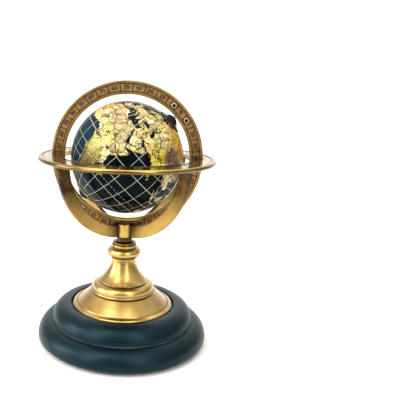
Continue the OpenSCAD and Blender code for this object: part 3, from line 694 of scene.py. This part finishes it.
def rough_up(points, seed, levels=2, amount=0.11):
    """Adds small bends between the outline's points, so that a coast isn't made of straight runs."""
    r = random.Random(seed)
    for _ in range(levels):
        grown = []
        for a, b in zip(points, points[1:] + points[:1]):
            grown.append(a)
            d = b - a
            if d.length < SHORTEST:
                continue
            side = Vector((-d.y, d.x))
            grown.append((a + b) / 2 + side * r.uniform(-amount, amount))
        points = grown
    return points


def inside(p, poly):
    hit = False
    x, y = p
    for (xi, yi), (xj, yj) in zip(poly, poly[-1:] + poly[:-1]):
        if (yi > y) != (yj > y) and x < (xj - xi) * (y - yi) / (yj - yi) + xi:
            hit = not hit
    return hit


def on_plate(p, rings):
    """Whether p is inside the coast, the first ring, and outside the lakes, the others."""
    return inside(p, rings[0]) and not any(inside(p, r) for r in rings[1:])


def land_piece(verts, faces, plates, text, lakes, seed):
    """Lays one land on the ball: a flat map about its own middle, filled with triangles, then bent
    back. Adds to verts, faces and plates, and gives its coasts as directions."""
    shore = [unit(la, lo) for lo, la in outline(text)]
    mid = sum(shore, Vector((0, 0, 0))).normalized()
    if abs(mid.z) < 0.98:
        across = mid.cross(UP).normalized()
    else:  # a land round a pole
        across = Vector((1, 0, 0))
        across = (across - mid * across.dot(mid)).normalized()
    upward = mid.cross(across)

    def flat(v):
        t = math.acos(max(-1.0, min(1.0, v.dot(mid))))
        s = Vector((v.dot(across), v.dot(upward)))
        return s * (t / s.length) if s.length > 1e-9 else Vector((0, 0))

    def bent(q):
        t = q.length
        if t < 1e-9:
            return mid.copy()
        w = (across * q.x + upward * q.y) / t
        return mid * math.cos(t) + w * math.sin(t)

    rings = [rough_up([flat(v) for v in shore], seed)]
    for k, lake in enumerate(lakes, 1):
        rings.append(rough_up([flat(unit(la, lo)) for lo, la in outline(lake)], seed + k))
    plates.append((mid, max(q.length for q in rings[0]), flat, rings))
    points, edges = [], []
    for ring in rings:
        n = len(points)
        points += ring
        edges += [(n + i, n + (i + 1) % len(ring)) for i in range(len(ring))]
    xs = [p.x for p in rings[0]]
    ys = [p.y for p in rings[0]]
    y = min(ys)
    while y < max(ys):
        x = min(xs)
        while x < max(xs):
            if on_plate((x, y), rings):
                points.append(Vector((x, y)))
            x += FILL_STEP
        y += FILL_STEP
    out, _, tris, _, _, _ = geometry.delaunay_2d_cdt(points, edges, [], 0, 1e-7)
    n = len(verts)
    verts += [bent(Vector(q)) for q in out]
    for t in tris:
        middle = (sum(out[i][0] for i in t) / 3, sum(out[i][1] for i in t) / 3)
        if on_plate(middle, rings):
            faces.append([n + i for i in t])
    return [[bent(q) for q in ring] for ring in rings]


def on_land(lat, lon, plates):
    w = unit(lat, lon)
    for mid, reach, flat, rings in plates:
        if w.dot(mid) > math.cos(min(math.pi, reach + 0.01)) and on_plate(flat(w), rings):
            return True
    return False


def outward(verts, faces):
    """Turns the faces that look into the ball."""
    for f in faces:
        a, b, c = (verts[i] for i in f[:3])
        if (b - a).cross(c - a).dot(a - CENTRE) < 0:
            f.reverse()


def map_lands():
    verts, faces, shores, plates = [], [], [], []
    for i, (name, text) in enumerate(COASTS.items()):
        shores += land_piece(verts, faces, plates, text, LAKES.get(name, []), 100 + 10 * i)
    verts = [on_ball(*lat_lon(w), LAND_LIFT) for w in verts]
    outward(verts, faces)
    lands = new_mesh("map_lands", verts, faces, M_LAND, "globe")
    thick = lands.modifiers.new("edge", "SOLIDIFY")
    thick.thickness = LAND_THICK
    thick.offset = -1
    return shores, plates


def ribbon(verts, faces, path, width, lift):
    """A thin flat strip that follows points (lat, lon) over the ball."""
    pts = [on_ball(la, lo, lift) for la, lo in path]
    n = len(verts)
    for i, p in enumerate(pts):
        a = pts[max(i - 1, 0)]
        b = pts[min(i + 1, len(pts) - 1)]
        side = (b - a).cross(p - CENTRE).normalized() * width / 2
        verts += [p - side, p + side]
        if i:
            k = n + 2 * i
            faces.append([k - 2, k - 1, k + 1, k])


def line_piece(name, verts, faces, mat):
    outward(verts, faces)
    ob = new_mesh(name, verts, faces, mat, "globe")


def coast_lines(name, shores, lift, width, mat):
    verts, faces = [], []
    for ring in shores:
        path = [lat_lon(w) for w in ring]
        ribbon(verts, faces, path + path[:1], width, lift)
    line_piece(name, verts, faces, mat)


def graticule(name, lift, thin, wide, mat, plates=None):
    """The map's lines. With plates they are drawn only over land. The equator is wide."""
    verts, faces = [], []

    def line(path, width):
        run = []
        for point in path:
            if plates is None or on_land(*point, plates):
                run.append(point)
                continue
            if len(run) > 1:
                ribbon(verts, faces, run, width, lift)
            run = []
        if len(run) > 1:
            ribbon(verts, faces, run, width, lift)

    for lon in range(-180, 180, GRID_STEP):
        reach = 50 if lon % (2 * GRID_STEP) == 0 else 40  # 75 degrees, and 60 for every other line
        line([(la * 1.5, lon) for la in range(-reach, reach + 1)], thin)
    for lat in range(-75, 76, GRID_STEP):
        line([(lat, lo * 1.5) for lo in range(-120, 121)], wide if lat == 0 else thin)
    for lat in (23.4, -23.4, 66.5, -66.5):
        for lo in range(-180, 180, DOT_STEP):
            line([(lat, lo + 0.2), (lat, lo + 1.2), (lat, lo + 2.2)], thin * 0.8)
    line_piece(name, verts, faces, mat)


coasts, land_plates = map_lands()
graticule("map_grid_sea", 0.00005, 0.00042, 0.00058, M_LINE)
coast_lines("map_coast_lines", coasts, 0.00014, 0.00034, M_LINE_DARK)
graticule("map_grid_land", 0.00013, 0.00024, 0.00034, M_LINE_DARK, land_plates)


# ---------------------------------------------------------------- scale numbers and marks
def digits(name, items, size, body):
    """items: (text, matrix), where the matrix lays local X right, Y up and Z off the face."""
    bm = bmesh.new()
    for text, mx in items:
        cu = bpy.data.curves.new("t", "FONT")
        cu.body = text
        cu.size = size
        cu.align_x = "CENTER"
        cu.align_y = "CENTER"
        cu.extrude = DIGIT_DEPTH
        cu.offset = size * 0.04
        cu.resolution_u = 2
        text_ob = add_to_scene(bpy.data.objects.new("t", cu))
        bpy.context.view_layer.update()
        me = bpy.data.meshes.new_from_object(text_ob)
        me.transform(mx)
        bm.from_mesh(me)
        bpy.data.objects.remove(text_ob)
    out = bpy.data.meshes.new(name)
    bm.to_mesh(out)
    bm.free()
    out.materials.clear()
    out.materials.append(M_DIGIT)
    ob = add_to_scene(bpy.data.objects.new(name, out))
    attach(ob, body)


def frame_at(origin, right, up):
    m = Matrix((right, up, right.cross(up))).transposed().to_4x4()
    m.translation = origin
    return m


def meridian_numbers():
    """Degrees from the nearest pole, 0 to 90, all round the ring's front face."""
    items = []
    for k in range(36):
        a = TILT + math.radians(10 * k)
        out = Vector((math.cos(a), 0, math.sin(a)))
        at = CENTRE + out * MERIDIAN_MID + Vector((0, MERIDIAN_FLOOR, 0))
        items.append((str(90 - abs(90 - 10 * k % 180)), frame_at(at, out.cross(FRONT), out)))
    digits("meridian_numbers", items, 0.0052, "meridian")


def horizon_numbers():
    """10 to 90 in each quarter of the horizon ring, but none on the meridian ring's two notches."""
    items = []
    for k in range(36):
        if k in (0, 18):
            continue
        a = math.radians(10 * k)
        out = Vector((math.cos(a), math.sin(a), 0))
        at = Vector((0, 0, HORIZON_FLOOR)) + out * HORIZON_NUMBERS
        items.append((str(10 * (k % 9) if k % 9 else 90), frame_at(at, (-out).cross(UP), -out)))
    digits("horizon_numbers", items, 0.0044, "stand")


def horizon_ticks():
    """Division marks every 2 degrees at the band's outer edge, longer and wider every 10."""
    verts, faces = [], []
    z = Vector((0, 0, HORIZON_FLOOR + 0.00005))
    for k in range(180):
        if min(2 * k % 180, 180 - 2 * k % 180) <= 2:  # the meridian ring's notches
            continue
        long, half = (0.0022, 0.00011) if k % 5 else (0.0040, 0.00018)
        a = math.radians(2 * k)
        d = Vector((math.cos(a), math.sin(a), 0))
        s = Vector((-math.sin(a), math.cos(a), 0)) * half
        start, end = d * (TICKS_END - long), d * TICKS_END
        n = len(verts)
        verts += [start - s + z, end - s + z, end + s + z, start + s + z]
        faces.append([n, n + 1, n + 2, n + 3])
    ticks = new_mesh("horizon_ticks", verts, faces, M_DIGIT, "stand", smooth=False)


meridian_numbers()
horizon_numbers()
horizon_ticks()


# ---------------------------------------------------------------- stage, light, camera
def stage_floor():
    """A plain pale floor that curves up into a wall far behind the object."""
    half_width, wall, top, bend, steps = 3.0, 2.2, 2.6, 0.8, 12
    profile = [(-3.0, 0.0), (wall - bend, 0.0)]
    for i in range(1, steps + 1):
        t = math.radians(90 * i / steps)
        profile.append((wall - bend + bend * math.sin(t), bend - bend * math.cos(t)))
    profile.append((wall, top))
    me = bpy.data.meshes.new("floor")
    bm = bmesh.new()
    left, right = [[bm.verts.new((x, y, z)) for y, z in profile] for x in (-half_width, half_width)]
    for a, b, c, d in zip(left, left[1:], right[1:], right):
        bm.faces.new((d, c, b, a)).smooth = True
    bm.normal_update()
    bm.to_mesh(me)
    bm.free()
    ob = add_to_scene(bpy.data.objects.new("floor", me))
    m = Mat("floor_pale")
    base = m.ramp(m.noise(m.coords(), 3.0, 3.0), [(0.3, (0.86, 0.86, 0.86)), (0.7, (0.90, 0.90, 0.895))])
    m.surface(base, 0.6)
    me.materials.append(m.m)


def studio_world():
    """Soft light that grows towards the top, and a plain pale backdrop for the camera."""
    world = bpy.data.worlds.new("studio")
    bpy.context.scene.world = world
    world.use_nodes = True
    tree = world.node_tree
    link = tree.links.new
    light = tree.nodes["Background"]
    way = tree.nodes.new("ShaderNodeTexCoord")
    split = tree.nodes.new("ShaderNodeSeparateXYZ")
    sky = tree.nodes.new("ShaderNodeValToRGB")
    for e, (height, v) in zip(sky.color_ramp.elements, ((0.10, 0.22), (0.75, 0.95))):
        e.position = height
        e.color = (v, v * 0.99, v * 0.97, 1)
    pale = tree.nodes.new("ShaderNodeBackground")
    pale.inputs[0].default_value = (0.93, 0.93, 0.93, 1)
    ray = tree.nodes.new("ShaderNodeLightPath")
    pick = tree.nodes.new("ShaderNodeMixShader")
    link(way.outputs["Generated"], split.inputs[0])
    link(split.outputs[2], sky.inputs[0])
    link(sky.outputs[0], light.inputs[0])
    link(ray.outputs["Is Camera Ray"], pick.inputs[0])
    link(light.outputs[0], pick.inputs[1])
    link(pale.outputs[0], pick.inputs[2])
    link(pick.outputs[0], tree.nodes["World Output"].inputs[0])


def area(name, at, target, width, height, power, colour=(1, 1, 1)):
    li = bpy.data.lights.new(name, "AREA")
    li.shape = "RECTANGLE"
    li.size = width
    li.size_y = height
    li.energy = power
    li.color = colour
    ob = add_to_scene(bpy.data.objects.new(name, li))
    ob.location = at
    ob.visible_camera = False
    ob.rotation_mode = "QUATERNION"
    ob.rotation_quaternion = (Vector(target) - Vector(at)).to_track_quat("-Z", "Y")


def camera():
    """The photograph's view, from a fitted camera. The photograph is 400 pixels wide."""
    azimuth, pitch, roll = (math.radians(a) for a in (2.5, 12.57, 1.80))
    distance, height = 0.4827, 0.2421
    focal_px, frame_px, sensor = 535.2, 400, 36
    data = bpy.data.cameras.new("camera")
    cam = add_to_scene(bpy.data.objects.new("camera", data))
    bpy.context.scene.camera = cam
    back = Vector((math.sin(azimuth), -math.cos(azimuth), 0))
    cam.location = back * distance + Vector((0, 0, height))
    forward = -back * math.cos(pitch) - Vector((0, 0, math.sin(pitch)))
    level = forward.cross(UP).normalized()
    upright = level.cross(forward)
    right = level * math.cos(roll) + upright * math.sin(roll)
    up = -level * math.sin(roll) + upright * math.cos(roll)
    cam.rotation_mode = "QUATERNION"
    cam.rotation_quaternion = Matrix((right, up, -forward)).transposed().to_quaternion()
    data.sensor_width = sensor
    data.lens = focal_px / frame_px * sensor
    data.shift_x = 0.1859  # the object stands left of the photograph's middle
    data.shift_y = 0.0
    data.clip_start = 0.01
    data.clip_end = 20


stage_floor()
studio_world()
bpy.context.scene.view_settings.view_transform = "Standard"
area("key", (-0.55, -0.60, 0.75), (0, 0, 0.12), 0.40, 1.5, 9.0, (1, 0.985, 0.96))
area("side", (-1.10, -0.20, 0.40), (0, 0, 0.08), 0.50, 0.70, 7.0)
area("fill", (0.42, -0.72, 0.75), (0, 0, 0.12), 0.26, 1.5, 5.0, (1, 0.99, 0.98))
area("top", (0.0, 0.30, 1.10), (0, 0.1, 0.0), 0.9, 0.9, 5)
area("wall", (0.0, 0.9, 1.6), (0, 2.2, 0.7), 2.0, 0.8, 26)
camera()
